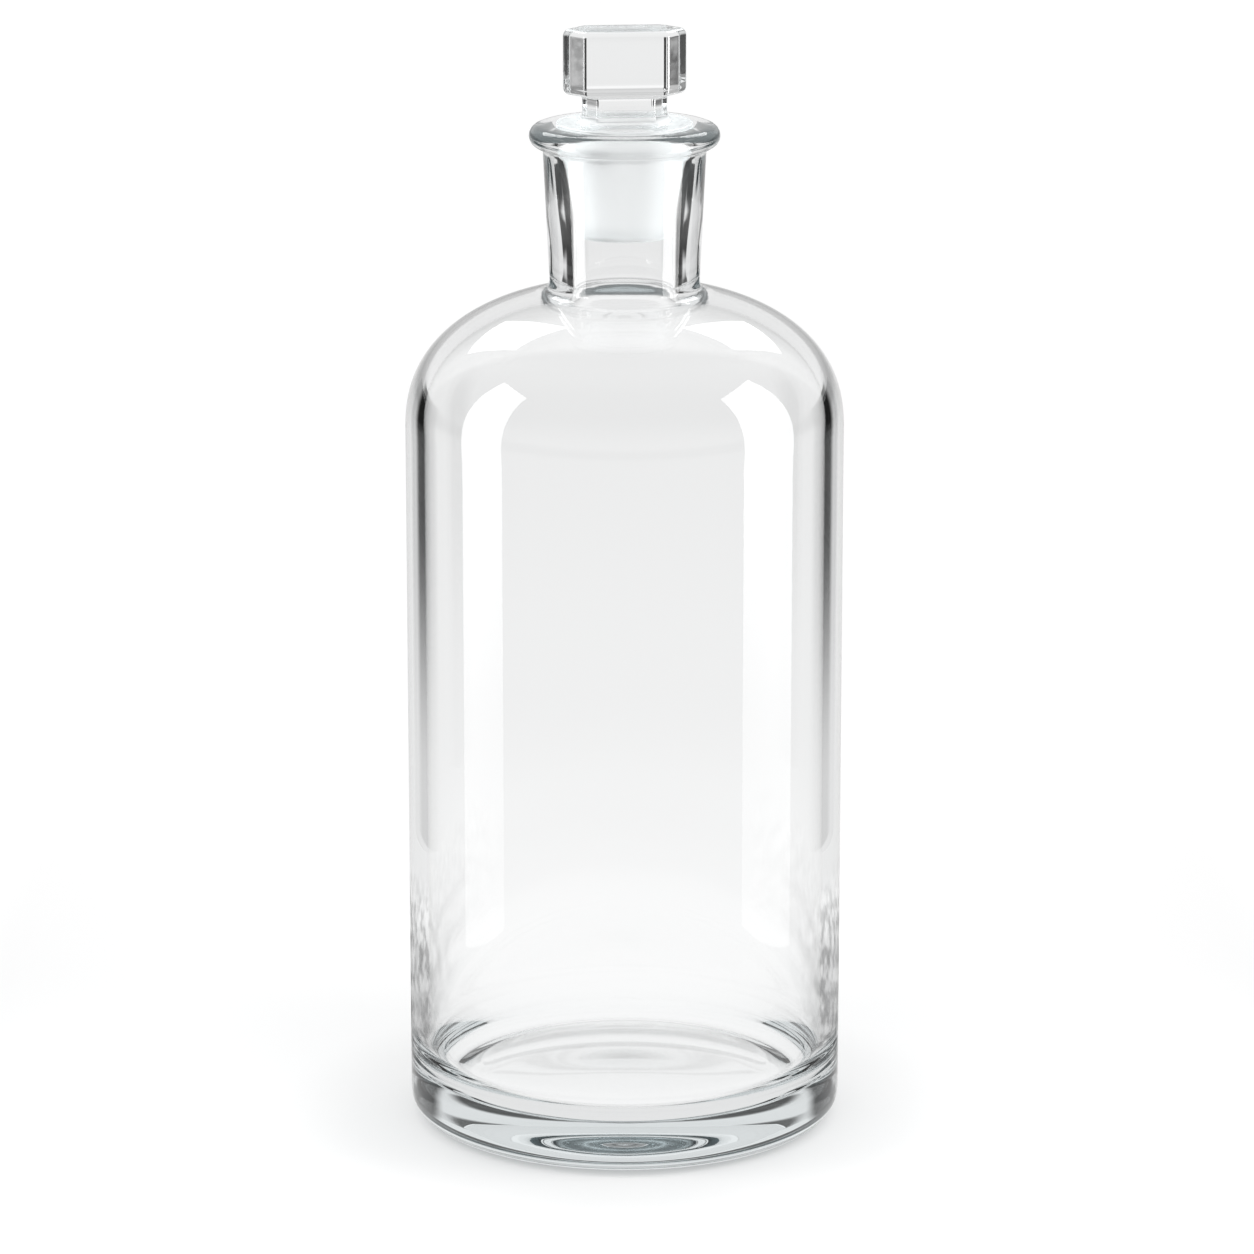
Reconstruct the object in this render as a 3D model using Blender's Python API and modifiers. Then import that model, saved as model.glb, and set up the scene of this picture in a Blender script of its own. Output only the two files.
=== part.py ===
# Winchester bottle: a heavy clear glass bottle with a ground-in glass stopper.
# Metres, +Z up, the middle of the foot at the origin.

import math

import bmesh
import bpy
import numpy as np
from mathutils import Matrix, Vector

mm = 0.001
degree = math.pi / 180

# Bottle, outside
BODY_DIAMETER = 130 * mm
STRAIGHT_HEIGHT = 212.5 * mm  # foot to where the shoulder begins
SHOULDER_HEIGHT = 42.4 * mm  # rise that the shoulder would have if it closed on the axis
SHOULDER_POWER = 2.32  # 2 is an ellipse, more is squarer
NECK_ROOT_DIAMETER = 43.9 * mm
NECK_TOP_DIAMETER = 48.8 * mm
NECK_BEND = 3.6 * mm  # reach of the hollow curve from shoulder to neck
BOTTLE_HEIGHT = 302.8 * mm  # foot to the top of the lip
LIP_DIAMETER = 56.2 * mm
LIP_THICKNESS = 6.6 * mm
LIP_BEND = 1.0 * mm  # hollow curve under the lip
MOUTH_ROUND = 0.9 * mm

# Bottle, foot
HEEL_RADIUS = 7.1 * mm
PUSH_UP = 1.6 * mm  # hollow of the underside at its middle
PUSH_UP_RADIUS = 40 * mm  # where the hollow runs out into the flat foot ring

# Bottle, inside
WALL = 5.5 * mm
FLOOR_HEIGHT = 12.4 * mm
FLOOR_CROWN = 0.8 * mm
FILLET_REACH = 14.9 * mm  # how far the floor's fillet comes in from the wall
FILLET_RISE = 14.0 * mm
BORE_DIAMETER = 28.6 * mm
BORE_BEND = 7.0 * mm

# Ground joint between neck and stopper
MOUTH_DIAMETER = 40.8 * mm
SOCKET_END_DIAMETER = 29.2 * mm
LEDGE_SLOPE = 1.2  # fall of the ledge under the ground cone for each unit it steps in
PLUG_LENGTH = 32.5 * mm  # below the top of the lip
PLUG_REACH = 1.0 * mm  # how far the plug goes past the end of the ground cone
PLUG_END_ROUND = 2.2 * mm
FIT_CLEARANCE = 0.3 * mm
COLLAR_RISE = 0.8 * mm  # plug standing above the lip
COLLAR_ROUND = 0.6 * mm

# Stopper head: a six-sided grip, longer than it is deep
HEAD_WIDTH = 37.5 * mm
HEAD_DEPTH = 16.4 * mm
HEAD_FACE_WIDTH = 24.2 * mm
HEAD_HEIGHT = 19.4 * mm
HEAD_ROUND = 2.2 * mm  # rounding of the edges round the top and the bottom
HEAD_CORNER_ROUND = 2.4 * mm  # rounding of the upright edges
STEM_WIDTH = 25.8 * mm
STEM_HEIGHT = 8.1 * mm
STEM_CORNER_ROUND = 1.5 * mm
STEM_BEND = 1.7 * mm  # hollow curve under the head
FLARE_WIDTH = 31.0 * mm
FLARE_HEIGHT = 3.6 * mm
STEM_SINK = 1.0 * mm  # how far the grip's blank goes into the plug
STOPPER_TURN = 5 * degree

# Fineness of the faceted solids
TURN_STEPS = 64
SHOULDER_STEPS = 11
ROUND_STEPS = 5
FILLET_STEPS = 8
HOLLOW_STEPS = 8
BEND_STEPS = 3
CORNER_STEPS = 4
MERGE = 0.01 * mm

GLASS_COLOUR = (0.83, 0.90, 0.91, 1.0)
GLASS_ROUGHNESS = 0.03
GLASS_INDEX = 1.52


def clear_scene():
    for thing in list(bpy.data.objects):
        bpy.data.objects.remove(thing, do_unlink=True)


def new_collection(name):
    collection = bpy.data.collections.new(name)
    bpy.context.scene.collection.children.link(collection)
    return collection


def glass(name, roughness):
    material = bpy.data.materials.new(name)
    material.use_nodes = True
    shader = material.node_tree.nodes["Principled BSDF"]
    shader.inputs["Base Color"].default_value = GLASS_COLOUR
    shader.inputs["Roughness"].default_value = roughness
    shader.inputs["Metallic"].default_value = 0
    shader.inputs["IOR"].default_value = GLASS_INDEX
    shader.inputs["Transmission Weight"].default_value = 1
    material.diffuse_color = GLASS_COLOUR
    return material


def arc(centre, radius, start, stop, steps):
    """Points on a circle from one angle to another, both ends included."""
    angles = np.linspace(start, stop, steps + 1)
    return [(centre[0] + radius * math.cos(a), centre[1] + radius * math.sin(a)) for a in angles]


def bend(start, corner, end, steps):
    """A smooth curve from start to end, leaving and arriving along the lines to the corner."""
    points = []
    for t in np.linspace(0, 1, steps + 1):
        weights = ((1 - t) ** 2, 2 * t * (1 - t), t**2)
        points.append(tuple(sum(w * p[i] for w, p in zip(weights, (start, corner, end))) for i in (0, 1)))
    return points


def along(start, towards, distance):
    """The point at a distance from start on the line towards another point."""
    run = Vector(towards) - Vector(start)
    return tuple(Vector(start) + run.normalized() * distance)


def dome_height(radius, widest, rise):
    """Height above its base of a shoulder that is widest at the base and closes on the axis."""
    return rise * (1 - (radius / widest) ** SHOULDER_POWER) ** (1 / SHOULDER_POWER)


def dome(widest, rise, narrowest):
    """A shoulder from its narrowest radius out and down to its widest, as points above its base."""
    least = math.acos((narrowest / widest) ** (SHOULDER_POWER / 2))
    points = []
    for angle in np.linspace(least, 0, SHOULDER_STEPS + 1):
        radius = widest * math.cos(angle) ** (2 / SHOULDER_POWER)
        points.append((radius, rise * math.sin(angle) ** (2 / SHOULDER_POWER)))
    return points


def shoulder_into_neck(widest, rise, neck_radius, reach, neck_end):
    """Points from up the neck, round a hollow bend and down over the shoulder to its widest radius."""
    base = STRAIGHT_HEIGHT
    shoulder = [(r, base + z) for r, z in dome(widest, rise, neck_radius + reach)]
    slope = (shoulder[1][1] - shoulder[0][1]) / (shoulder[1][0] - shoulder[0][0])
    corner = (neck_radius, shoulder[0][1] - slope * reach)
    return bend(along(corner, neck_end, reach), corner, shoulder[0], BEND_STEPS) + shoulder[1:]


def neck_radius_at(height):
    """Outer radius of the neck at a height on its straight taper."""
    root_height = STRAIGHT_HEIGHT + dome_height(NECK_ROOT_DIAMETER / 2, BODY_DIAMETER / 2, SHOULDER_HEIGHT)
    share = (height - root_height) / (BOTTLE_HEIGHT - root_height)
    return (NECK_ROOT_DIAMETER + (NECK_TOP_DIAMETER - NECK_ROOT_DIAMETER) * share) / 2


def socket_slope():
    """Radius that the ground cone loses for each unit of depth."""
    return (MOUTH_DIAMETER - SOCKET_END_DIAMETER) / 2 / (PLUG_LENGTH - PLUG_REACH)


def bottle_inside():
    """From the middle of the floor out, up the wall and the neck to the mouth."""
    inner_radius = BODY_DIAMETER / 2 - WALL
    floor_edge = inner_radius - FILLET_REACH
    crown = [
        (floor_edge * share, FLOOR_HEIGHT + FLOOR_CROWN * (1 - share**2))
        for share in np.linspace(0, 1, BEND_STEPS + 1)
    ]
    fillet = [
        (floor_edge + FILLET_REACH * math.sin(angle), FLOOR_HEIGHT + FILLET_RISE * (1 - math.cos(angle)))
        for angle in np.linspace(0, math.pi / 2, FILLET_STEPS + 1)
    ]
    bore = BORE_DIAMETER / 2
    cone_end = (SOCKET_END_DIAMETER / 2, BOTTLE_HEIGHT - PLUG_LENGTH + PLUG_REACH)
    ledge_foot = (bore, cone_end[1] - LEDGE_SLOPE * abs(cone_end[0] - bore))
    shoulder = shoulder_into_neck(inner_radius, SHOULDER_HEIGHT - WALL, bore, BORE_BEND, ledge_foot)
    mouth_foot = (
        MOUTH_DIAMETER / 2 - socket_slope() * MOUTH_ROUND,
        BOTTLE_HEIGHT - MOUTH_ROUND,
    )
    mouth_corner = (MOUTH_DIAMETER / 2, BOTTLE_HEIGHT)
    mouth_edge = (MOUTH_DIAMETER / 2 + MOUTH_ROUND, BOTTLE_HEIGHT)
    mouth = bend(mouth_foot, mouth_corner, mouth_edge, BEND_STEPS)
    return crown + fillet[1:] + shoulder[::-1] + [ledge_foot, cone_end] + mouth


def bottle_outside():
    """From the edge of the lip down the neck, over the shoulder and down to the middle of the underside."""
    lip_round = LIP_THICKNESS / 2
    lip_centre = (LIP_DIAMETER / 2 - lip_round, BOTTLE_HEIGHT - lip_round)
    lip = arc(lip_centre, lip_round, math.pi / 2, -math.pi / 3, 2 * ROUND_STEPS)
    under_height = BOTTLE_HEIGHT - LIP_THICKNESS
    under_corner = (neck_radius_at(under_height), under_height)
    neck_start = (neck_radius_at(under_height - LIP_BEND), under_height - LIP_BEND)
    under = bend(lip[-1], under_corner, neck_start, BEND_STEPS)
    shoulder = shoulder_into_neck(
        BODY_DIAMETER / 2, SHOULDER_HEIGHT, NECK_ROOT_DIAMETER / 2, NECK_BEND, neck_start
    )
    heel_centre = (BODY_DIAMETER / 2 - HEEL_RADIUS, HEEL_RADIUS)
    heel = arc(heel_centre, HEEL_RADIUS, 0, -math.pi / 2, ROUND_STEPS)
    hollow = [
        (PUSH_UP_RADIUS * share, PUSH_UP * (1 + math.cos(math.pi * share)) / 2)
        for share in np.linspace(1, 0, HOLLOW_STEPS + 1)
    ]
    return lip + under[1:] + shoulder + heel + hollow


def turned(name, points, collection, material):
    """A solid turned about +Z from a profile that ends on the axis and runs down its outer side."""
    mesh = bpy.data.meshes.new(name)
    edges = [(i, i + 1) for i in range(len(points) - 1)]
    mesh.from_pydata([(r, 0, z) for r, z in points], edges, [])
    thing = bpy.data.objects.new(name, mesh)
    collection.objects.link(thing)
    screw = thing.modifiers.new("Turn", "SCREW")
    screw.axis = "Z"
    screw.angle = 2 * math.pi
    screw.steps = TURN_STEPS
    screw.render_steps = TURN_STEPS
    screw.use_merge_vertices = True
    screw.merge_threshold = MERGE
    screw.use_smooth_shade = True
    mesh.materials.append(material)
    return thing


def grip_outline(width, inset, corner_round):
    """The six-sided outline at a width, moved in by an inset, with its corners rounded."""
    scale = width / HEAD_WIDTH
    half_width = width / 2
    half_depth = HEAD_DEPTH * scale / 2
    half_face = HEAD_FACE_WIDTH * scale / 2
    corners = [
        Vector(corner)
        for corner in (
            (half_width, 0),
            (half_face, half_depth),
            (-half_face, half_depth),
            (-half_width, 0),
            (-half_face, -half_depth),
            (half_face, -half_depth),
        )
    ]
    outline = []
    for i, corner in enumerate(corners):
        before = (corners[i - 1] - corner).normalized()
        after = (corners[(i + 1) % 6] - corner).normalized()
        inward = (before + after).normalized()
        half_angle = before.angle(after) / 2
        middle = corner + inward * (max(corner_round, inset) / math.sin(half_angle))
        radius = max(corner_round - inset, 0)
        swing = math.pi / 2 - half_angle
        facing = math.atan2(-inward.y, -inward.x)
        for angle in np.linspace(facing - swing, facing + swing, CORNER_STEPS + 1):
            outline.append((middle.x + radius * math.cos(angle), middle.y + radius * math.sin(angle)))
    return outline


def grip_sections():
    """Outlines of the grip from its foot in the plug up to its top, each with its height."""
    plug_top = BOTTLE_HEIGHT + COLLAR_RISE
    head_foot = plug_top + STEM_HEIGHT
    head_top = head_foot + HEAD_HEIGHT
    rows = [(FLARE_WIDTH, 0, plug_top - STEM_SINK)]
    flare_corner = (STEM_WIDTH, plug_top)
    for width, height in bend(
        (FLARE_WIDTH, plug_top), flare_corner, (STEM_WIDTH, plug_top + FLARE_HEIGHT), BEND_STEPS
    ):
        rows.append((width, 0, height))
    under_corner = (STEM_WIDTH, head_foot)
    for width, height in bend(
        (STEM_WIDTH, head_foot - STEM_BEND), under_corner, (STEM_WIDTH + 2 * STEM_BEND, head_foot), BEND_STEPS
    ):
        rows.append((width, 0, height))
    for angle in np.linspace(0, math.pi / 2, BEND_STEPS + 1):
        rows.append(
            (HEAD_WIDTH, HEAD_ROUND * (1 - math.sin(angle)), head_foot + HEAD_ROUND * (1 - math.cos(angle)))
        )
    for angle in np.linspace(math.pi / 2, 0, BEND_STEPS + 1):
        rows.append(
            (HEAD_WIDTH, HEAD_ROUND * (1 - math.sin(angle)), head_top - HEAD_ROUND * (1 - math.cos(angle)))
        )
    sections = []
    for width, inset, height in rows:
        share = (width - STEM_WIDTH) / (HEAD_WIDTH - STEM_WIDTH)
        corner_round = STEM_CORNER_ROUND + (HEAD_CORNER_ROUND - STEM_CORNER_ROUND) * share
        sections.append((grip_outline(width, inset, corner_round), height))
    return sections


def lofted(name, sections, collection):
    """A closed solid through outlines of equal count, capped at both ends."""
    mesh = bmesh.new()
    rings = [[mesh.verts.new((x, y, height)) for x, y in outline] for outline, height in sections]
    count = len(rings[0])
    for lower, upper in zip(rings, rings[1:]):
        for i in range(count):
            j = (i + 1) % count
            mesh.faces.new((lower[i], lower[j], upper[j], upper[i]))
    mesh.faces.new(rings[0][::-1])
    mesh.faces.new(rings[-1])
    bmesh.ops.remove_doubles(mesh, verts=mesh.verts, dist=MERGE)
    bmesh.ops.recalc_face_normals(mesh, faces=mesh.faces)
    data = bpy.data.meshes.new(name)
    mesh.to_mesh(data)
    mesh.free()
    thing = bpy.data.objects.new(name, data)
    collection.objects.link(thing)
    return thing


def plug_profile():
    """The ground plug from the middle of its top, down its cone and round its end to the axis."""
    gap = FIT_CLEARANCE * math.hypot(1, socket_slope())
    top = BOTTLE_HEIGHT + COLLAR_RISE
    end = BOTTLE_HEIGHT - PLUG_LENGTH

    def radius_at(height):
        return MOUTH_DIAMETER / 2 - gap - socket_slope() * (BOTTLE_HEIGHT - height)

    collar_foot = (radius_at(top - COLLAR_ROUND), top - COLLAR_ROUND)
    collar = bend((radius_at(top) - COLLAR_ROUND, top), (radius_at(top), top), collar_foot, BEND_STEPS)
    end_start = (radius_at(end + PLUG_END_ROUND), end + PLUG_END_ROUND)
    tip = bend(end_start, (radius_at(end), end), (radius_at(end) - PLUG_END_ROUND, end), BEND_STEPS)
    return [(0, top)] + collar + tip + [(0, end)]


def build_bottle(collection):
    profile = bottle_inside() + bottle_outside()
    return turned("bottle", profile, collection, glass("bottle_glass", GLASS_ROUGHNESS))


def build_stopper(collection, blanks):
    stopper = turned("stopper", plug_profile(), collection, glass("stopper_glass", GLASS_ROUGHNESS))
    grip = lofted("grip_blank", grip_sections(), blanks)
    grip.hide_render = True
    grip.display_type = "WIRE"
    join = stopper.modifiers.new("Grip", "BOOLEAN")
    join.operation = "UNION"
    join.object = grip
    stopper.matrix_world = Matrix.Rotation(STOPPER_TURN, 4, "Z")
    grip.parent = stopper
    return stopper


def main():
    clear_scene()
    parts = new_collection("winchester bottle")
    blanks = new_collection("blanks")
    build_bottle(parts)
    build_stopper(parts, blanks)


main()
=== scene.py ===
# Winchester bottle of clear glass with its ground stopper, on a pale studio floor.
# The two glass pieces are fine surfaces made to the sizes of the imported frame.

import math

import bpy
import numpy as np
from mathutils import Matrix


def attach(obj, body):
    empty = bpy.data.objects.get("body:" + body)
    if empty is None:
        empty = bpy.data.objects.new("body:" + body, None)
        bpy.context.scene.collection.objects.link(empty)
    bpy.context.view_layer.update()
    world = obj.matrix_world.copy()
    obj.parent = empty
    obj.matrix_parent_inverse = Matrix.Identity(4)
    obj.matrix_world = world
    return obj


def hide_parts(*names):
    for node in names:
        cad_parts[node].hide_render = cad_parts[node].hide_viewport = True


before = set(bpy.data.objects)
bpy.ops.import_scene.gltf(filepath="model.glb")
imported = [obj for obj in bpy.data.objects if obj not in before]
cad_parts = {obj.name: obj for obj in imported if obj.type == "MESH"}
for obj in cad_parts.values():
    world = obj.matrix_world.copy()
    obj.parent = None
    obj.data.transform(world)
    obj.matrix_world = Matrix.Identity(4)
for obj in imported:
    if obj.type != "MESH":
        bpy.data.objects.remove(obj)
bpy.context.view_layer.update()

mm = 0.001


# A line is an array of points in millimetres, each a distance from the axis and a height.
def arc(centre, radius, startAngle, endAngle, count=40):
    # centre + radius * (cos a, sin a), angles in degrees
    a = np.radians(np.linspace(startAngle, endAngle, count))
    return np.array(centre) + radius * np.column_stack([np.cos(a), np.sin(a)])


def bend(start, corner, end, count=30):
    # (1 - t)^2 * start + 2 t (1 - t) * corner + t^2 * end, t from 0 to 1
    t = np.linspace(0, 1, count)[:, None]
    return (1 - t) ** 2 * np.array(start) + 2 * t * (1 - t) * np.array(corner) + t**2 * np.array(end)


def dome(widest, rise, power, narrowest, count=160):
    # superellipse: r = widest * cos(a)^(2 / power), z = rise * sin(a)^(2 / power)
    least = math.acos((narrowest / widest) ** (power / 2))
    a = np.linspace(least, 0, count)
    return np.column_stack([widest * np.cos(a) ** (2 / power), rise * np.sin(a) ** (2 / power)])


def throughPoint(start, towards, distance):
    # start + distance * the unit vector towards the other point
    way = np.array(towards) - np.array(start)
    return np.array(start) + way / np.hypot(*way) * distance


def meltedOutline(line, blur, count, turnWeight=3.0):
    # The line is walked in even steps and averaged with a bell curve of width blur, which rounds its corners.
    # Then count points are kept, the same length apart where a radian of turning counts as turnWeight.
    stepsPerBlur = 6
    reach = 4 * stepsPerBlur  # the bell curve is cut off at four times its width
    step = blur / stepsPerBlur
    apart = np.hypot(*np.diff(line, axis=0).T) > step / 50
    line = line[np.concatenate([[True], apart])]
    walked = np.concatenate([[0], np.cumsum(np.hypot(*np.diff(line, axis=0).T))])
    ticks = np.linspace(0, walked[-1], int(walked[-1] / step))
    fine = np.column_stack([np.interp(ticks, walked, line[:, i]) for i in (0, 1)])
    bell = np.exp(-0.5 * (np.arange(-reach, reach + 1) / stepsPerBlur) ** 2)
    acrossAxis = np.array([-1, 1])
    padded = np.vstack([fine[reach:0:-1] * acrossAxis, fine, fine[-2 : -reach - 2 : -1] * acrossAxis])
    soft = np.column_stack([np.convolve(padded[:, i], bell / bell.sum(), "valid") for i in (0, 1)])
    run = np.diff(soft, axis=0)
    heading = np.unwrap(np.arctan2(run[:, 1], run[:, 0]))
    turning = np.abs(np.gradient(heading))
    cost = np.concatenate([[0], np.cumsum(np.hypot(*run.T) + turnWeight * turning)])
    places = np.linspace(0, cost[-1], count)
    kept = np.column_stack([np.interp(places, cost, soft[:, i]) for i in (0, 1)])
    kept[[0, -1], 0] = 0
    return kept


def closedSurface(name, grid):
    # grid is rows x columns x 3 in metres; columns close on themselves, and the first and last row are points
    rows, columns = grid.shape[0] - 2, grid.shape[1]
    points = np.vstack([grid[0, :1], grid[1:-1].reshape(-1, 3), grid[-1, :1]])
    ring = np.arange(columns)
    after = (ring + 1) % columns
    row = 1 + np.arange(rows - 1)[:, None] * columns
    quads = np.stack([row + ring, row + columns + ring, row + columns + after, row + after], -1)
    last = 1 + (rows - 1) * columns
    firstFan = np.column_stack([np.zeros(columns, int), 1 + ring, 1 + after])
    lastFan = np.column_stack([last + ring, np.full(columns, len(points) - 1), last + after])
    corners = np.concatenate([quads.ravel(), firstFan.ravel(), lastFan.ravel()])
    sides = np.concatenate([np.full(quads.size // 4, 4), np.full(2 * columns, 3)])
    mesh = bpy.data.meshes.new(name)
    mesh.vertices.add(len(points))
    mesh.vertices.foreach_set("co", points.astype(np.float32).ravel())
    mesh.loops.add(len(corners))
    mesh.loops.foreach_set("vertex_index", corners.astype(np.int32))
    mesh.polygons.add(len(sides))
    mesh.polygons.foreach_set("loop_start", np.concatenate([[0], np.cumsum(sides)[:-1]]).astype(np.int32))
    mesh.update(calc_edges=True)
    mesh.validate()
    mesh.shade_smooth()
    piece = bpy.data.objects.new(name, mesh)
    bpy.context.scene.collection.objects.link(piece)
    return piece


# Sizes of the bottle, in millimetres. They are the frame's, but for the two that say otherwise.
bottleSizes = {
    "bodyDiameter": 130.0,
    "straightHeight": 212.5,  # foot to the start of the shoulder
    "shoulderHeight": 42.4,  # rise that the shoulder would have if it closed on the axis
    "shoulderPower": 2.32,  # 2 is an ellipse, more is squarer
    "neckRootDiameter": 43.9,
    "neckTopDiameter": 48.8,
    "neckBend": 3.6,
    "height": 302.8,
    "lipDiameter": 56.2,
    "lipThickness": 6.6,
    "lipEndAngle": -60.0,
    "lipBend": 1.0,
    "mouthRound": 0.9,
    "heelRadius": 7.1,
    "pushUp": 1.2,  # 1.6 in the frame: this rise shows rings of the right size in the base
    "pushUpRadius": 40.0,
    "wall": 5.5,
    "floorHeight": 12.4,
    "floorCrown": 0.8,
    "filletReach": 14.9,  # how far the floor's fillet comes in from the wall
    "filletRise": 14.0,
    "boreDiameter": 28.6,
    "boreBend": 7.0,
    "mouthDiameter": 40.8,
    "socketEndDiameter": 29.2,
    "socketDepth": 31.5,
    "coneBend": 8.0,  # reach of the bend from the ground cone into the bore, where the frame has a ledge
    "edgeBlur": 0.3,  # how far worked edges are melted round
    # points of the curves, and of the mesh along the outline and around the bottle
    "crownPoints": 60,
    "filletPoints": 60,
    "pushUpPoints": 90,
    "along": 380,
    "around": 256,
}


def shoulderLine(s, widest, rise, neckRadius, reach, neckEnd):
    # from up the neck, round a hollow bend and down over the shoulder to its widest
    shoulder = dome(widest, rise, s["shoulderPower"], neckRadius + reach) + [0, s["straightHeight"]]
    slope = (shoulder[1, 1] - shoulder[0, 1]) / (shoulder[1, 0] - shoulder[0, 0])
    corner = np.array([neckRadius, shoulder[0, 1] - slope * reach])
    return np.vstack([bend(throughPoint(corner, neckEnd, reach), corner, shoulder[0]), shoulder])


def bottleInside(s):
    # floor crown z = floorHeight + crown * (1 - share^2), fillet, wall, shoulder, bore, ground cone
    radius = s["bodyDiameter"] / 2 - s["wall"]
    floorEdge = radius - s["filletReach"]
    share = np.linspace(0, 1, s["crownPoints"])
    crown = np.column_stack([floorEdge * share, s["floorHeight"] + s["floorCrown"] * (1 - share**2)])
    a = np.linspace(0, math.pi / 2, s["filletPoints"])
    filletRise = s["floorHeight"] + s["filletRise"] * (1 - np.cos(a))
    fillet = np.column_stack([floorEdge + s["filletReach"] * np.sin(a), filletRise])
    bore = s["boreDiameter"] / 2
    mouth = np.array([s["mouthDiameter"] / 2, s["height"]])
    coneSlope = (s["mouthDiameter"] - s["socketEndDiameter"]) / 2 / s["socketDepth"]
    coneFoot = np.array([bore, s["height"] - (mouth[0] - bore) / coneSlope])
    cone = bend(coneFoot - [0, s["coneBend"]], coneFoot, throughPoint(coneFoot, mouth, s["coneBend"]))
    rise = s["shoulderHeight"] - s["wall"]
    shoulder = shoulderLine(s, radius, rise, bore, s["boreBend"], coneFoot)[::-1]
    mouthFoot = throughPoint(mouth, coneFoot, s["mouthRound"])
    rim = bend(mouthFoot, mouth, mouth + [s["mouthRound"], 0])
    return np.vstack([crown, fillet, shoulder, cone, rim])


def neckRadius(s, height):
    # grows evenly from the neck's root, where the shoulder's superellipse is as wide as it, to the top
    share = (s["neckRootDiameter"] / s["bodyDiameter"]) ** s["shoulderPower"]
    root = s["straightHeight"] + s["shoulderHeight"] * (1 - share) ** (1 / s["shoulderPower"])
    widening = (s["neckTopDiameter"] - s["neckRootDiameter"]) * (height - root) / (s["height"] - root)
    return (s["neckRootDiameter"] + widening) / 2


def bottleOutside(s):
    # half-round lip, hollow under it, neck taper, shoulder, wall, heel, foot ring,
    # push-up z = rise * (1 + cos(pi * share)) / 2
    half = s["lipThickness"] / 2
    lip = arc((s["lipDiameter"] / 2 - half, s["height"] - half), half, 90, s["lipEndAngle"])
    underLip = s["height"] - s["lipThickness"]
    neckStart = np.array([neckRadius(s, underLip - s["lipBend"]), underLip - s["lipBend"]])
    under = bend(lip[-1], (neckRadius(s, underLip), underLip), neckStart)
    radius, neck = s["bodyDiameter"] / 2, s["neckRootDiameter"] / 2
    shoulder = shoulderLine(s, radius, s["shoulderHeight"], neck, s["neckBend"], neckStart)
    heel = arc((radius - s["heelRadius"], s["heelRadius"]), s["heelRadius"], 0, -90)
    share = np.linspace(1, 0, s["pushUpPoints"])
    hollow = np.column_stack([s["pushUpRadius"] * share, s["pushUp"] * (1 + np.cos(math.pi * share)) / 2])
    return np.vstack([lip, under, shoulder, heel, hollow])


def makeBottle(s):
    # x = r cos a, y = r sin a for every point (r, z) of the outline and every angle a
    outline = meltedOutline(np.vstack([bottleInside(s), bottleOutside(s)]), s["edgeBlur"], s["along"])
    a = np.linspace(0, 2 * np.pi, s["around"], endpoint=False)
    r, z = outline[:, :1], outline[:, 1:]
    grid = np.stack([r * np.cos(a), r * np.sin(a), z + 0 * a], -1) * mm
    return closedSurface("bottle_glass_body", grid)


# Sizes of the stopper, in millimetres
stopperSizes = {
    "headWidth": 37.5,
    "headDepth": 16.4,
    "headFaceWidth": 24.2,
    "headHeight": 19.4,
    "headRound": 2.2,
    "headCornerRound": 2.4,
    "topCrown": 0.25,
    "stemWidth": 25.8,
    "stemHeight": 8.1,
    "stemCornerRound": 1.5,
    "stemBend": 1.7,
    "flareWidth": 31.0,
    "flareHeight": 3.6,
    "collarRise": 0.8,
    "collarRound": 0.6,
    "plugLength": 32.5,
    "plugEndRound": 2.2,
    "fitClearance": 0.3,
    "webWidth": 0.4,  # least step from the flare's corners out to the first circle
    "turn": 5.0,  # degrees about the axis
    "edgeBlur": 0.15,
    # rows and points of the mesh
    "topRows": 14,
    "edgeRows": 12,
    "stemBendRows": 10,
    "flareRows": 14,
    "webRows": 4,
    "collarPoints": 8,
    "plugRows": 170,
    "plugTurnWeight": 8.0,  # a high weight keeps many of the plug's rows for its rounded edges
    "cornerPoints": 14,
    "sidePoints": 18,
}


def gripRing(s, width, inset, cornerRound):
    # Six-sided outline at each width, moved in by inset, its corners arcs: width, inset and cornerRound are
    # arrays with one value for each row. A corner's arc has its middle on the corner's bisector.
    halfWidth, halfFace, halfDepth = s["headWidth"] / 2, s["headFaceWidth"] / 2, s["headDepth"] / 2
    right = [(halfFace, -halfDepth), (halfWidth, 0), (halfFace, halfDepth)]
    corners = np.array(right[1:] + [(-x, -y) for x, y in right] + right[:1])
    before = np.roll(corners, 1, 0) - corners
    after = np.roll(corners, -1, 0) - corners
    before /= np.hypot(*before.T)[:, None]
    after /= np.hypot(*after.T)[:, None]
    inward = (before + after) / np.hypot(*(before + after).T)[:, None]
    halfAngle = np.arccos((before * after).sum(1)) / 2
    scale = (width / s["headWidth"])[:, None, None]
    back = np.maximum(cornerRound, inset)[:, None] / np.sin(halfAngle)
    middle = corners * scale + inward * back[:, :, None]
    radius = np.maximum(cornerRound - inset, 0)
    facing = np.arctan2(-inward[:, 1], -inward[:, 0])
    swing = np.linspace(-1, 1, s["cornerPoints"])
    angle = facing[:, None] + swing * (math.pi / 2 - halfAngle)[:, None]
    around = np.stack([np.cos(angle), np.sin(angle)], -1)
    rounded = middle[:, :, None, :] + radius[:, None, None, None] * around
    t = (1 - np.cos(np.linspace(0, np.pi, s["sidePoints"] + 2)[1:-1])) / 2
    sideStart = rounded[:, :, -1:, :]
    sideEnd = np.roll(rounded[:, :, :1, :], -1, 1)
    flat = sideStart + t[:, None] * (sideEnd - sideStart)
    return np.concatenate([rounded, flat], 2).reshape(len(width), -1, 2)


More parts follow.
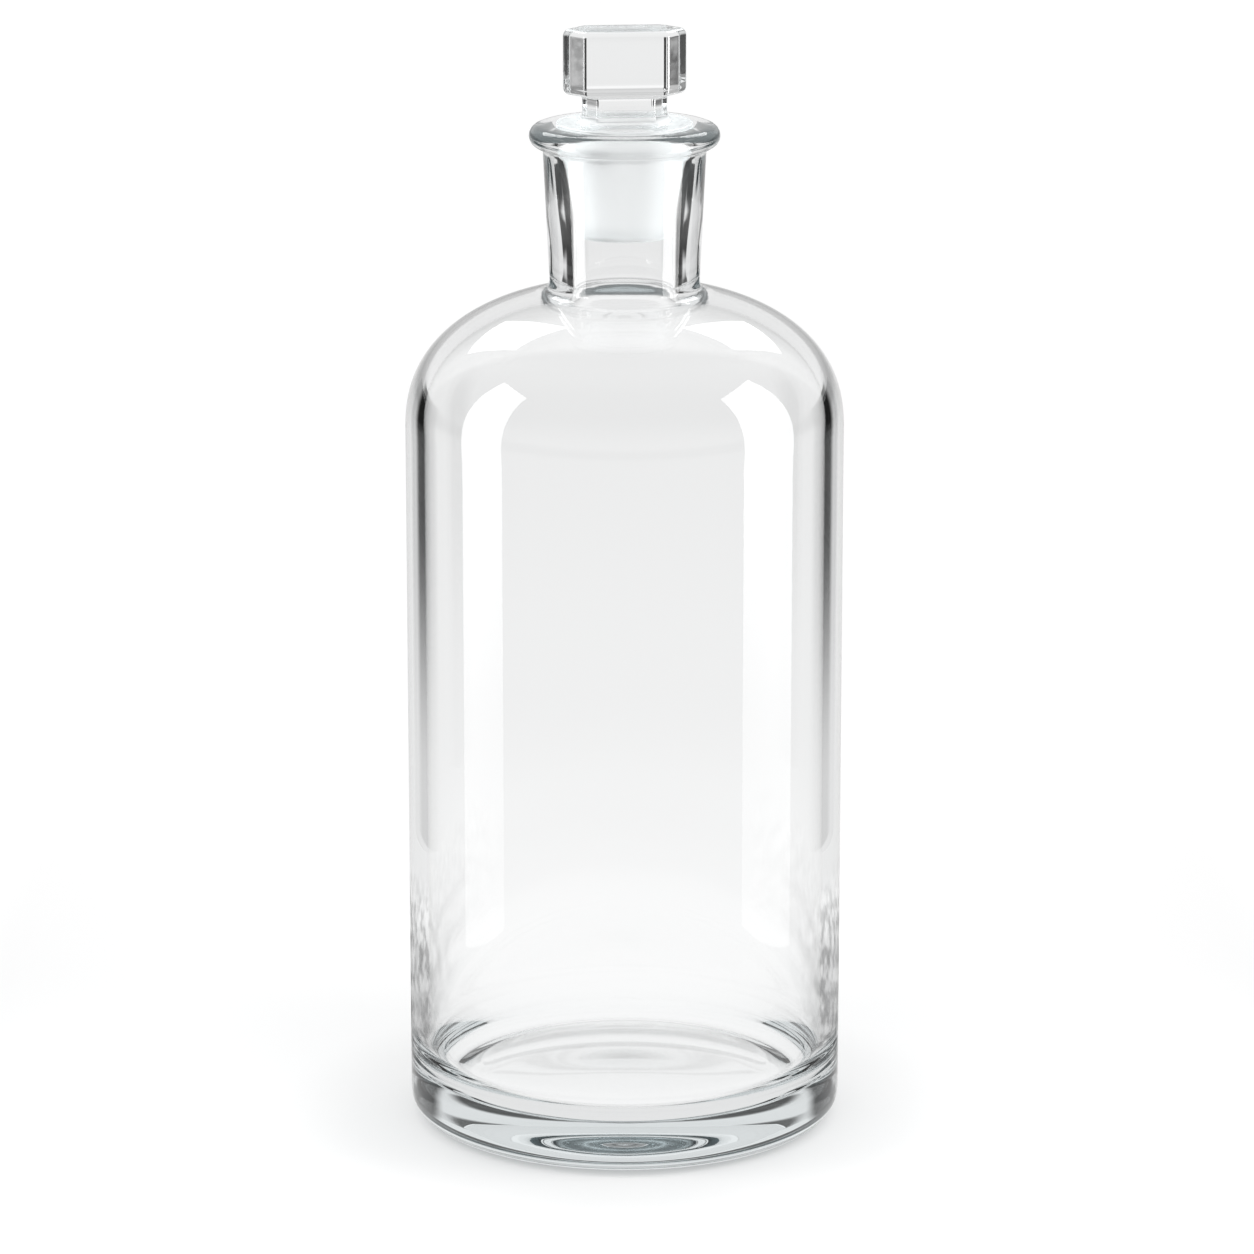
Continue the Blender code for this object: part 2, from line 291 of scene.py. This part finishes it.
def gripRows(s, headTop, headFoot, plugTop):
    # One row of width, inset and height for each ring, from the middle of the top down to the flare's foot:
    # crown z = top + crown * (1 - share^2), quarter-round edge, straight side, edge, hollow bend, stem, flare
    share = np.linspace(0, 1, s["topRows"])
    topInset = s["headRound"] + (s["headDepth"] / 2 - s["headRound"]) * (1 - share)
    cap = np.column_stack([0 * share + s["headWidth"], topInset, headTop + s["topCrown"] * (1 - share**2)])
    a = np.radians(np.linspace(0, 90, s["edgeRows"]))
    drop = s["headRound"] * (1 - np.cos(a))
    edge = np.column_stack([0 * a + s["headWidth"], s["headRound"] * (1 - np.sin(a)), headTop - drop])
    z = np.linspace(headTop - s["headRound"], headFoot + s["headRound"], s["edgeRows"])
    side = np.column_stack([0 * z + s["headWidth"], 0 * z, z])
    foot = edge[::-1] * [1, 1, -1] + [0, 0, headTop + headFoot]
    stem, reach = s["stemWidth"], s["stemBend"]
    under = bend((stem + 2 * reach, headFoot), (stem, headFoot), (stem, headFoot - reach), s["stemBendRows"])
    flareTop = (stem, plugTop + s["flareHeight"])
    flare = bend(flareTop, (stem, plugTop), (s["flareWidth"], plugTop), s["flareRows"])
    lower = np.insert(np.vstack([under, flare]), 1, 0, axis=1)
    return np.vstack([cap, edge[1:], side[1:], foot[1:], lower])


def plugOutline(s, bottle, plugTop, plugEnd):
    # collar, ground cone r = mouth radius - gap - slope * (height of the mouth - z), rounded end
    slope = (bottle["mouthDiameter"] - bottle["socketEndDiameter"]) / 2 / bottle["socketDepth"]
    gap = s["fitClearance"] * math.hypot(1, slope)

    def onCone(z):
        return np.array([bottle["mouthDiameter"] / 2 - gap - slope * (bottle["height"] - z), z])

    collar, end = onCone(plugTop), onCone(plugEnd)
    collarFoot = onCone(plugTop - s["collarRound"])
    line = np.vstack(
        [
            [(0, plugTop)],
            bend(collar - [s["collarRound"], 0], collar, collarFoot, s["collarPoints"]),
            bend(onCone(plugEnd + s["plugEndRound"]), end, end - [s["plugEndRound"], 0]),
            [(0, plugEnd)],
        ]
    )
    return meltedOutline(line, s["edgeBlur"], s["plugRows"], s["plugTurnWeight"])


def makeStopper(s, bottle):
    # The grip is a run of six-sided rings with a height each. Below it a few rings blend out to circles,
    # which follow the collar, the ground cone and the rounded end: x = r cos a, y = r sin a.
    plugTop = bottle["height"] + s["collarRise"]
    plugEnd = bottle["height"] - s["plugLength"]
    headFoot = plugTop + s["stemHeight"]
    headTop = headFoot + s["headHeight"]
    rows = gripRows(s, headTop, headFoot, plugTop)
    widthShare = (rows[:, 0] - s["stemWidth"]) / (s["headWidth"] - s["stemWidth"])
    cornerRound = s["stemCornerRound"] + (s["headCornerRound"] - s["stemCornerRound"]) * widthShare
    rings = gripRing(s, rows[:, 0], rows[:, 1], cornerRound)
    heights = np.broadcast_to(rows[:, 2, None, None], (*rings.shape[:2], 1))
    grip = np.concatenate([rings, heights], 2)
    plug = plugOutline(s, bottle, plugTop, plugEnd)
    plug = plug[plug[:, 0] > 0]
    flareReach = np.hypot(*grip[-1, :, :2].T).max()
    plug = plug[np.argmax(plug[:, 0] > flareReach + s["webWidth"]) :]
    a = np.unwrap(np.arctan2(grip[-1, :, 1], grip[-1, :, 0]))
    r, z = plug[:, :1], plug[:, 1:]
    circles = np.stack([r * np.cos(a), r * np.sin(a), z + 0 * a], -1)
    blend = np.linspace(0, 1, s["webRows"] + 2)[1:-1][:, None, None]
    web = grip[-1] * (1 - blend) + circles[0] * blend
    top = np.zeros_like(grip[:1]) + [0, 0, headTop + s["topCrown"]]
    end = np.zeros_like(grip[:1]) + [0, 0, plugEnd]
    grid = np.concatenate([top, grip, web, circles, end])
    turn = math.radians(s["turn"])
    spin = np.array([[math.cos(turn), math.sin(turn), 0], [-math.sin(turn), math.cos(turn), 0], [0, 0, 1]])
    return closedSurface("stopper_glass_body", grid @ spin * mm)


class Wire:
    # An output socket in a node tree. Sums and products on it add Math nodes.
    def __init__(self, tree, socket=None):
        self.tree = tree
        self.socket = socket

    def node(self, kind, settings=None, inputs=None, output=0):
        added = self.tree.nodes.new(kind)
        for name, value in (settings or {}).items():
            setattr(added, name, value)
        for name, value in (inputs or {}).items():
            if isinstance(value, Wire):
                self.tree.links.new(value.socket, added.inputs[name])
            else:
                added.inputs[name].default_value = value
        return None if output is None else Wire(self.tree, added.outputs[output])

    def maths(self, operation, first=None, second=0.0):
        first = self if first is None else first
        return self.node("ShaderNodeMath", {"operation": operation}, {0: first, 1: second})

    def __add__(self, other):
        return self.maths("ADD", self, other)

    def __sub__(self, other):
        return self.maths("SUBTRACT", self, other)

    def __rsub__(self, other):
        return self.maths("SUBTRACT", other, self)

    def __mul__(self, other):
        return self.maths("MULTIPLY", self, other)

    __radd__ = __add__
    __rmul__ = __mul__

    def most(self, other):
        return self.maths("MAXIMUM", self, other)

    def fade(self, start, end, low=0.0, high=1.0):
        # smoothly from low at start to high at end
        settings = {"interpolation_type": "SMOOTHSTEP"}
        values = {"Value": self, "From Min": start, "From Max": end, "To Min": low, "To Max": high}
        return self.node("ShaderNodeMapRange", settings, values)


def newMaterial(name):
    material = bpy.data.materials.new(name)
    material.use_nodes = True
    material.node_tree.nodes.clear()
    return material, Wire(material.node_tree)


def objectPlace(tree):
    return tree.node("ShaderNodeTexCoord", output="Object")


def lightPath(tree, output):
    return tree.node("ShaderNodeLightPath", output=output)


def along(vector, axis):
    # one of a vector's three numbers
    return vector.node("ShaderNodeSeparateXYZ", {}, {"Vector": vector}, output=axis)


glassLook = {
    "indexOfRefraction": 1.5,
    "absorbed": (0.62, 0.78, 0.82, 1.0),  # colour left by the volume
    "density": 2.3,
    "shadowTint": (0.86, 0.88, 0.885, 1.0),  # what each wall lets through to the floor
}


def finishGlass(tree, roughness):
    # clear glass with its body colour in the volume; rays from lamps pass straight through it
    inputs = {
        "Base Color": (1, 1, 1, 1),
        "Roughness": roughness,
        "IOR": glassLook["indexOfRefraction"],
        "Transmission Weight": 1.0,
    }
    glass = tree.node("ShaderNodeBsdfPrincipled", {}, inputs)
    clear = tree.node("ShaderNodeBsdfTransparent", {}, {"Color": glassLook["shadowTint"]})
    isShadow = lightPath(tree, "Is Shadow Ray")
    surface = tree.node("ShaderNodeMixShader", {}, {0: isShadow, 1: glass, 2: clear})
    tint = {"Color": glassLook["absorbed"], "Density": glassLook["density"]}
    body = tree.node("ShaderNodeVolumeAbsorption", {}, tint)
    tree.node("ShaderNodeOutputMaterial", {}, {"Surface": surface, "Volume": body}, output=None)


def bottleGlass():
    material, tree = newMaterial("bottle glass")
    finishGlass(tree, 0.0)
    return material


# The ground surface of the plug, between two heights in millimetres
frostLook = {
    "roughness": 0.4,
    "start": 270.6,
    "end": 302.6,
    "edge": 0.5,  # over which the polish comes back
}


def stopperGlass():
    # polished grip, and a finely ground plug
    material, tree = newMaterial("stopper glass")
    z = along(objectPlace(tree), "Z")
    lower = z.fade((frostLook["start"] - frostLook["edge"]) * mm, frostLook["start"] * mm)
    upper = z.fade(frostLook["end"] * mm, (frostLook["end"] + frostLook["edge"]) * mm, 1.0, 0.0)
    finishGlass(tree, lower * upper * frostLook["roughness"])
    return material


bottle = makeBottle(bottleSizes)
bottle.data.materials.append(bottleGlass())
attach(bottle, "bottle")
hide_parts("bottle")
print("bottle:", len(bottle.data.polygons), "faces")

stopper = makeStopper(stopperSizes, bottleSizes)
stopper.data.materials.append(stopperGlass())
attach(stopper, "stopper")
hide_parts("stopper")
print("stopper:", len(stopper.data.polygons), "faces")


# The studio. Clear glass shows only what stands round it, so the cards, the floor and the sky each have
# painted tones for the glass to show, set by how often the light that reaches the camera was mirrored in it.
def rayKinds(tree):
    # Three weights, one of them 1: not mirrored at all, mirrored once, or more often
    depth = lightPath(tree, "Glossy Depth")
    mirrored, often = depth.fade(0.4, 0.6), depth.fade(1.4, 1.6)
    return 1 - mirrored, mirrored - often, often


def stripe(wire, edges):
    # 0 up to the first edge, 1 between the middle two, 0 from the last on
    return wire.fade(*edges[:2]) * wire.fade(*edges[2:], 1.0, 0.0)


def tones(wire, steps):
    # runs smoothly from tone to tone: steps are pairs of a place and the tone there
    tone = steps[0][1]
    for (start, low), (end, high) in zip(steps, steps[1:]):
        if high != low:
            tone = wire.fade(start, end) * (high - low) + tone
    return tone


def cardSurface(name, grid, material):
    # an open sheet from a grid of points in metres; its UV map runs from 0 to 1 across and up
    rows, columns = grid.shape[:2]
    index = np.arange(rows * columns).reshape(rows, columns)
    quads = np.stack([index[:-1, :-1], index[:-1, 1:], index[1:, 1:], index[1:, :-1]], -1).reshape(-1, 4)
    mesh = bpy.data.meshes.new(name)
    mesh.from_pydata(grid.reshape(-1, 3).tolist(), [], quads.tolist())
    layer = mesh.uv_layers.new(name="card")
    across, up = quads % columns / (columns - 1), quads // columns / (rows - 1)
    layer.data.foreach_set("uv", np.stack([across, up], -1).astype(np.float32).ravel())
    mesh.materials.append(material)
    card = bpy.data.objects.new(name, mesh)
    bpy.context.scene.collection.objects.link(card)
    card.visible_camera = False
    card.visible_diffuse = False
    card.visible_shadow = False


def cardPlace(tree):
    # two wires from 0 to 1, across and up a card
    place = tree.node("ShaderNodeTexCoord", output="UV")
    return along(place, "X"), along(place, "Y")


def finishCard(material, tree, opacity, tone):
    # a card that glows with a tone, and isn't there where the opacity is 0
    tone = tone if isinstance(tone, Wire) else (tone, tone, tone, 1)
    light = tree.node("ShaderNodeEmission", {}, {"Color": tone})
    clear = tree.node("ShaderNodeBsdfTransparent")
    mixed = tree.node("ShaderNodeMixShader", {}, {0: opacity, 1: clear, 2: light})
    tree.node("ShaderNodeOutputMaterial", {}, {"Surface": mixed}, output=None)
    material.cycles.emission_sampling = "NONE"


def curvedCard(name, s, columns=91):
    # x = r sin a, y = r cos a: part of a cylinder round the bottle's axis, once for each turn in degrees.
    # Gives their material, its tree, and wires of the angle from the middle in degrees and of the share
    # of the height.
    material, tree = newMaterial(name)
    for turn in s["turns"]:
        angles = np.linspace(turn - s["reach"], turn + s["reach"], columns)
        a, z = np.meshgrid(np.radians(angles), [s["bottom"], s["top"]])
        grid = np.stack([s["distance"] * np.sin(a), s["distance"] * np.cos(a), z], -1)
        cardSurface(f"{name}_{turn}", grid, material)
    across, up = cardPlace(tree)
    return material, tree, across * (2 * s["reach"]) - s["reach"], up


# Black cards left and right behind the bottle, seen only in light mirrored once in the glass: painted dark
# reflections.
# Distances and sizes are in metres, angles in degrees from straight behind, and edges in shares of the card's
# width or height.
lowCards = {
    "angles": (-53, 53),
    "distance": 0.325,
    "width": 0.22,
    "height": 0.245,
    "across": (0.1, 0.3, 0.7, 0.9),
    "thinBelow": 0.08,
    "fullFrom": 0.5,
    "thinness": 0.25,
}


def makeLowCards(s):
    # the card's edges thin out, so that the painted dark lines in the glass are soft
    material, tree = newMaterial("black card")
    across, up = cardPlace(tree)
    opacity = stripe(across, s["across"]) * up.fade(s["thinBelow"], s["fullFrom"], s["thinness"], 1.0)
    # painted dark reflections: the card is black only for light mirrored once in the glass
    finishCard(material, tree, opacity * rayKinds(tree)[1], 0.0)
    for index, angle in enumerate(s["angles"]):
        a = math.radians(angle)
        out = np.array([math.sin(a), math.cos(a), 0])
        sideways = np.array([math.cos(a), -math.sin(a), 0])
        x, z = np.meshgrid([-s["width"] / 2, s["width"] / 2], [0, s["height"]])
        grid = out * s["distance"] + x[:, :, None] * sideways + z[:, :, None] * [0, 0, 1]
        cardSurface(f"low_card_{index}", grid, material)


# Two dark stripes behind the foot, as shares of the card's height, seen only in light mirrored once: painted
# dark reflections
footCard = {
    "distance": 0.09,
    "reach": 36,
    "turns": (0,),
    "bottom": 0.012,
    "top": 0.034,
    "stripes": ((0.0, 0.05, 0.34, 0.42), (0.72, 0.78, 0.9, 0.98)),
    "tone": 0.08,
}


def makeFootCard(s):
    # they show as the painted dark bands in the foot's thick glass
    material, tree, _, up = curvedCard("foot_card", s)
    dark = stripe(up, s["stripes"][0]).most(stripe(up, s["stripes"][1]))
    finishCard(material, tree, dark * rayKinds(tree)[1], s["tone"])


# Painted dark reflections: stripes behind the neck, seen only in light mirrored once, in degrees from
# straight behind. The shoulder shows the same part of the card from nearer, so each stripe is only there for
# light that came from as far as the neck, in metres.
neckCard = {
    "distance": 0.095,
    "reach": 70,
    "turns": (0,),
    "bottom": 0.23,
    "top": 0.266,
    "foot": (0.1, 0.2),  # share of the height over which the stripes begin
    "edges": (13.0, 15.0, 21.0, 25.0),
    "edgeAway": (0.0925, 0.095),  # from the neck's left and right edge
    "bars": (22.0, 25.0, 42.0, 45.0),
    "barsEnd": (0.5, 0.56),
    "lines": (35.5, 37.5, 44.5, 47.0),
    "wallAway": (0.079, 0.082),  # from the neck's wall, also for the bars
    "lean": 24.0,  # degrees that bars and lines turn outwards from the card's bottom to its top
}


def makeNeckCard(s):
    # they show as painted dark upright bars and a painted dark outline in the neck's thick glass
    material, tree, angle, up = curvedCard("neck_card", s)
    outward = angle.maths("ABSOLUTE")
    leaning = outward - up * s["lean"]
    fromWall, fromEdge = (lightPath(tree, "Ray Length").fade(*s[away]) for away in ("wallAway", "edgeAway"))
    dark = stripe(leaning, s["bars"]) * up.fade(*s["barsEnd"], 1.0, 0.0)
    dark = dark.most(stripe(leaning, s["lines"])) * fromWall
    dark = dark.most(stripe(outward, s["edges"]) * fromEdge)
    finishCard(material, tree, dark * rayKinds(tree)[1] * up.fade(*s["foot"]), 0.0)


# Curved screens round the stopper, their stripes in degrees from their middle, negative to the left
screen = {
    "distance": 0.15,
    "reach": 45,
    "turns": (0, 90, 180, 270),
    "bottom": 0.282,
    "top": 0.36,
    "foot": (0.0, 0.05),
    "dark": ((-9.0, -8.0, -6.0, -5.0), (5.5, 6.5, 15.5, 17.0)),
    "white": (-14.5, -13.5, -10.0, -9.0),
    "whiteGlow": 1.3,
    "grey": (18.0, 21.0, 38.0, 44.0),
    "greyRise": (0.18, 0.42),  # shares of the height between which a flank's tone changes
    "leftTones": (0.42, 0.24),
    "rightTones": (0.14, 0.5),
    "mottleScale": 320.0,
    "mottleDetail": 3.0,
    "mottleFrom": (0.3, 0.7),  # values of the noise
    "mottle": 0.1,
}


def makeScreen(s):
    # dark, glowing white and mottled grey stripes, which show in the grip as painted dark outlines, a painted
    # highlight and painted grey shade on its flanks
    material, tree, angle, up = curvedCard("screen", s)
    white = stripe(angle, s["white"])
    grey = stripe(angle.maths("ABSOLUTE"), s["grey"])
    dark = stripe(angle, s["dark"][0]).most(stripe(angle, s["dark"][1]))
    there = dark.most(white).most(grey) * up.fade(*s["foot"])
    noise = {"Vector": objectPlace(tree), "Scale": s["mottleScale"], "Detail": s["mottleDetail"]}
    cloud = tree.node("ShaderNodeTexNoise", {}, noise, output="Fac")
    left = up.fade(*s["greyRise"], *s["leftTones"])
    right = up.fade(*s["greyRise"], *s["rightTones"])
    mottle = cloud.fade(*s["mottleFrom"], -s["mottle"], s["mottle"])
    mottled = right + (left - right) * angle.fade(-1.0, 1.0) + mottle
    # painted dark lines, highlight and shade, seen only in light straight through the glass
    finishCard(material, tree, there * rayKinds(tree)[0], white * s["whiteGlow"] + grey * mottled)


wattsPerGlow = 4  # watts for each square metre of an area lamp, to glow as bright as 1


def placeLamp(name, lamp, place, turns):
    box = bpy.data.objects.new(name, lamp)
    box.location = place
    box.rotation_euler = turns
    box.visible_camera = False
    box.visible_transmission = False
    bpy.context.scene.collection.objects.link(box)


# Upright strips of light left and right of the bottle, in metres
softboxes = {
    "places": ((-0.25, -0.0876), (0.25, -0.084)),
    "widths": (0.115, 0.144),
    "height": 0.45,
    "glow": 4.0,  # brightness, where 1 is white
    "footGlow": 0.2,  # share of it at the floor
    "fullFrom": 0.5,  # share of the height from which it is full
}


def makeSoftboxes(s):
    for index, (x, y) in enumerate(s["places"]):
        lamp = bpy.data.lights.new(f"softbox_{index}", "AREA")
        lamp.shape = "RECTANGLE"
        lamp.size = s["widths"][index]
        lamp.size_y = s["height"]
        lamp.energy = s["glow"] * lamp.size * lamp.size_y * wattsPerGlow
        lamp.use_nodes = True
        lamp.node_tree.nodes.clear()
        tree = Wire(lamp.node_tree)
        up = along(tree.node("ShaderNodeNewGeometry", output="Parametric"), "Y")
        glow = up.fade(0.0, s["fullFrom"], s["footGlow"], 1.0)
        light = tree.node("ShaderNodeEmission", {}, {"Color": glow})
        tree.node("ShaderNodeOutputLight", {}, {"Surface": light}, output=None)
        turns = (math.pi / 2, 0, math.copysign(math.pi / 2, x))
        placeLamp(f"softbox_{index}", lamp, (x, y, s["height"] / 2), turns)


# Two square soft lights high behind the bottle, one on either side, that look down at its shoulder
highBoxes = {
    "sideways": 33,  # degrees from straight behind
    "up": 42,
    "distance": 1.0,
    "size": 0.36,
    "glow": 3.0,
}


def makeHighBoxes(s):
    sideways, up = math.radians(s["sideways"]), math.radians(s["up"])
    away = math.cos(up)
    shoulder = np.array([0, 0, bottleSizes["straightHeight"] * mm])
    for side in (-1, 1):
        lamp = bpy.data.lights.new("high box", "AREA")
        lamp.size = s["size"]
        lamp.energy = s["glow"] * lamp.size**2 * wattsPerGlow
        way = np.array([side * math.sin(sideways) * away, math.cos(sideways) * away, math.sin(up)])
        turns = (up - math.pi / 2, 0, -side * sideways)
        placeLamp("high box", lamp, way * s["distance"] + shoulder, turns)


# What changes the tones for light that was mirrored many times in the thick foot and lip
mirroredOften = {
    "paintedDimFrom": (6.0, 14.0),  # painted shade: light mirrored many times is made darker between these numbers of times, down to a share
    "paintedDimShare": 0.3,
    "frontTone": 0.3,  # share of the tone in front of the bottle
    "deepFrom": (4.4, 6.6),  # from about these numbers on it finds the far floor and the low sky dark
    "deepTone": 0.12,
}


def glassTone(tree, place, tables, front):
    # the tone that the glass shows, from a table for each kind of ray
    s = mirroredOften
    through, once, often = rayKinds(tree)
    ahead = front * (s["frontTone"] - 1) + 1
    # painted shade on light mirrored many times in the foot and lip
    paintedDim = lightPath(tree, "Glossy Depth").fade(*s["paintedDimFrom"], 1.0, s["paintedDimShare"])
    seenOften = often * tones(place, tables[2]) * ahead * paintedDim
    return through * tones(place, tables[0]) + once * tones(place, tables[1]) + seenOften


# The floor. Pairs are a distance from the bottle's axis in metres and the tone there.
floorLook = {
    "reach": 8.0,  # metres to the floor's edge
    "drop": 0.0003,  # keeps the floor from touching the foot
    "paint": 0.6,  # how much of the lamps' light the floor gives back, which shadows take away
    # what the camera sees of that, which the floor's own glow fills up to white
    "lit": ((0.08, 0.735), (0.11, 0.69), (0.2, 0.655), (0.5, 0.625), (0.9, 0.56), (1.25, 0.505), (1.6, 0.47)),
    "unlitFrom": (0.2, 0.27),  # the softboxes leave the floor behind them dark, so it glows more there
    "unlitGlow": 0.2,
    # as the glass shows it: straight through, mirrored once, more often
    "tones": (
        ((0.15, 1.0), (0.5, 0.885), (0.9, 0.86), (1.1, 0.82), (1.6, 0.84), (2.4, 0.87), (3.4, 0.97)),
        ((0.07, 0.8), (0.12, 0.5), (0.18, 0.55), (0.26, 0.85), (1.5, 0.8), (4.0, 0.5)),
        ((0.0, 0.75), (0.8, 0.75), (1.5, 0.12)),
    ),
    "front": (-0.2, -0.6),  # metres along y over which the front begins
    "deepDistance": (0.15, 0.4),
    "streakPlace": (0.09, 0.1, 0.21, 0.3),  # distances between which the floor behind the bottle has painted bright and dark streaks, seen only in light mirrored once in the glass
    "streakBehind": (0.0, 0.04),
    "streakScale": 45.0,
    "streakDetail": 2.0,
    "streakFrom": (0.38, 0.62),  # values of the noise
    "streakTones": (0.5, 1.3),
}


def makeFloor(s):
    # Seen by the camera the floor is white, less the bottle's shadow. Seen by the glass it has its tones.
    mesh = bpy.data.meshes.new("floor")
    corners = [(-1, -1), (1, -1), (1, 1), (-1, 1)]
    mesh.from_pydata([(x * s["reach"], y * s["reach"], -s["drop"]) for x, y in corners], [], [(0, 1, 2, 3)])
    floor = bpy.data.objects.new("floor", mesh)
    bpy.context.scene.collection.objects.link(floor)
    material, tree = newMaterial("white floor")
    place = objectPlace(tree)
    distance = tree.node("ShaderNodeVectorMath", {"operation": "LENGTH"}, {0: place}, output="Value")
    x, y = along(place, "X").maths("ABSOLUTE"), along(place, "Y")
    # painted streaks: noise on the floor that shows only as bright and dark streaks in the glass
    noise = {"Vector": place, "Scale": s["streakScale"], "Detail": s["streakDetail"]}
    cloud = tree.node("ShaderNodeTexNoise", {}, noise, output="Fac")
    near = stripe(distance, s["streakPlace"]) * rayKinds(tree)[1] * y.fade(*s["streakBehind"])
    paintedStreaks = (cloud.fade(*s["streakFrom"], *s["streakTones"]) - 1) * near + 1
    deep = lightPath(tree, "Glossy Depth").fade(*mirroredOften["deepFrom"])
    far = distance.fade(*s["deepDistance"], 1.0, mirroredOften["deepTone"])
    seen = glassTone(tree, distance, s["tones"], y.fade(*s["front"])) * paintedStreaks * ((far - 1) * deep + 1)
    glassSees = tree.node("ShaderNodeEmission", {}, {"Color": seen})
    beyond = x.fade(*s["unlitFrom"]) * s["unlitGlow"]
    light = tree.node("ShaderNodeEmission", {}, {"Color": beyond + 1 - tones(distance, s["lit"])})
    paint = tree.node("ShaderNodeBsdfDiffuse", {}, {"Color": (s["paint"], s["paint"], s["paint"], 1)})
    cameraSees = tree.node("ShaderNodeAddShader", {}, {0: light, 1: paint})
    isCamera = lightPath(tree, "Is Camera Ray")
    surface = tree.node("ShaderNodeMixShader", {}, {0: isCamera, 1: glassSees, 2: cameraSees})
    tree.node("ShaderNodeOutputMaterial", {}, {"Surface": surface}, output=None)
    material.cycles.emission_sampling = "NONE"
    mesh.materials.append(material)


# The sky. Pairs are the sine of the elevation and the tone there.
skyLook = {
    "litTone": 0.8,  # light that the floor gets from all round
    # as the glass shows it: straight through, mirrored once, more often
    "tones": (
        ((0.0, 1.0), (0.08, 0.85), (0.14, 0.6), (0.3, 0.7)),
        ((0.0, 0.5), (0.1, 0.85), (0.5, 0.75), (1.0, 0.8)),
        ((0.0, 0.9), (0.4, 0.85), (1.0, 0.85)),
    ),
    "front": (0.0, -0.3),  # part of the way to the front over which it begins
    "frontTop": (0.32, 0.37),
    "deepRise": (0.37, 0.43),
    # rings in the sky behind, in degrees from their middle, for light mirrored more than twice
    "ringMiddle": 41,
    "ringTones": ((10.0, 0.36), (14.0, 0.1), (19.0, 0.1), (24.0, 1.0)),
    "ringFrom": (2.4, 2.6),
}


def makeWorld(s):
    # white to the camera, an even light to the floor, and its tones to the glass
    world = bpy.data.worlds.new("studio")
    bpy.context.scene.world = world
    world.use_nodes = True
    world.node_tree.nodes.clear()
    tree = Wire(world.node_tree)
    isCamera = lightPath(tree, "Is Camera Ray")
    inGlass = lightPath(tree, "Is Transmission Ray").most(lightPath(tree, "Is Glossy Ray"))
    toSky = tree.node("ShaderNodeTexCoord", output="Generated")
    y, rise = along(toSky, "Y"), along(toSky, "Z")
    up = math.radians(s["ringMiddle"])
    toMiddle = {0: toSky, 1: (0, math.cos(up), math.sin(up))}
    nearness = tree.node("ShaderNodeVectorMath", {"operation": "DOT_PRODUCT"}, toMiddle, output="Value")
    ring = tones(nearness.maths("ARCCOSINE").maths("DEGREES"), s["ringTones"])
    mirrorings = lightPath(tree, "Glossy Depth")
    lowFront = y.fade(*s["front"]) * rise.fade(*s["frontTop"], 1.0, 0.0)
    low = rise.fade(*s["deepRise"], mirroredOften["deepTone"], 1.0)
    seen = glassTone(tree, rise, s["tones"], lowFront) * ((ring - 1) * mirrorings.fade(*s["ringFrom"]) + 1)
    seen = seen * ((low - 1) * mirrorings.fade(*mirroredOften["deepFrom"]) + 1)
    tone = isCamera + (1 - isCamera) * (1 - inGlass) * s["litTone"] + inGlass * seen
    light = tree.node("ShaderNodeBackground", {}, {"Color": tone})
    tree.node("ShaderNodeOutputWorld", {}, {"Surface": light}, output=None)


view = {
    "distance": 1.6855,  # metres from the bottle's axis, along the floor
    "height": 0.5863,
    "pitch": 14.49,  # degrees below level
    "turn": 0.024,  # degrees to the right
    "focalPixels": 5816.8,
    "framePixels": 1254,
    "sensorWidth": 36.0,
}


def makeCamera(s):
    data = bpy.data.cameras.new("camera")
    data.sensor_width = s["sensorWidth"]
    data.lens = s["focalPixels"] / s["framePixels"] * data.sensor_width
    camera = bpy.data.objects.new("camera", data)
    camera.location = (0, -s["distance"], s["height"])
    camera.rotation_euler = (math.radians(90 - s["pitch"]), 0, -math.radians(s["turn"]))
    bpy.context.scene.collection.objects.link(camera)
    bpy.context.scene.camera = camera


makeLowCards(lowCards)
makeFootCard(footCard)
makeNeckCard(neckCard)
makeScreen(screen)
makeSoftboxes(softboxes)
makeHighBoxes(highBoxes)
makeFloor(floorLook)
makeWorld(skyLook)
makeCamera(view)
print("studio ready")

# light is mirrored many times in the thick foot and lip, which end black if it is cut off early
scene = bpy.context.scene
scene.view_settings.view_transform = "Standard"
scene.cycles.max_bounces = 96
scene.cycles.transmission_bounces = 96
scene.cycles.glossy_bounces = 64
scene.cycles.transparent_max_bounces = 64
scene.cycles.caustics_reflective = False
scene.cycles.caustics_refractive = False
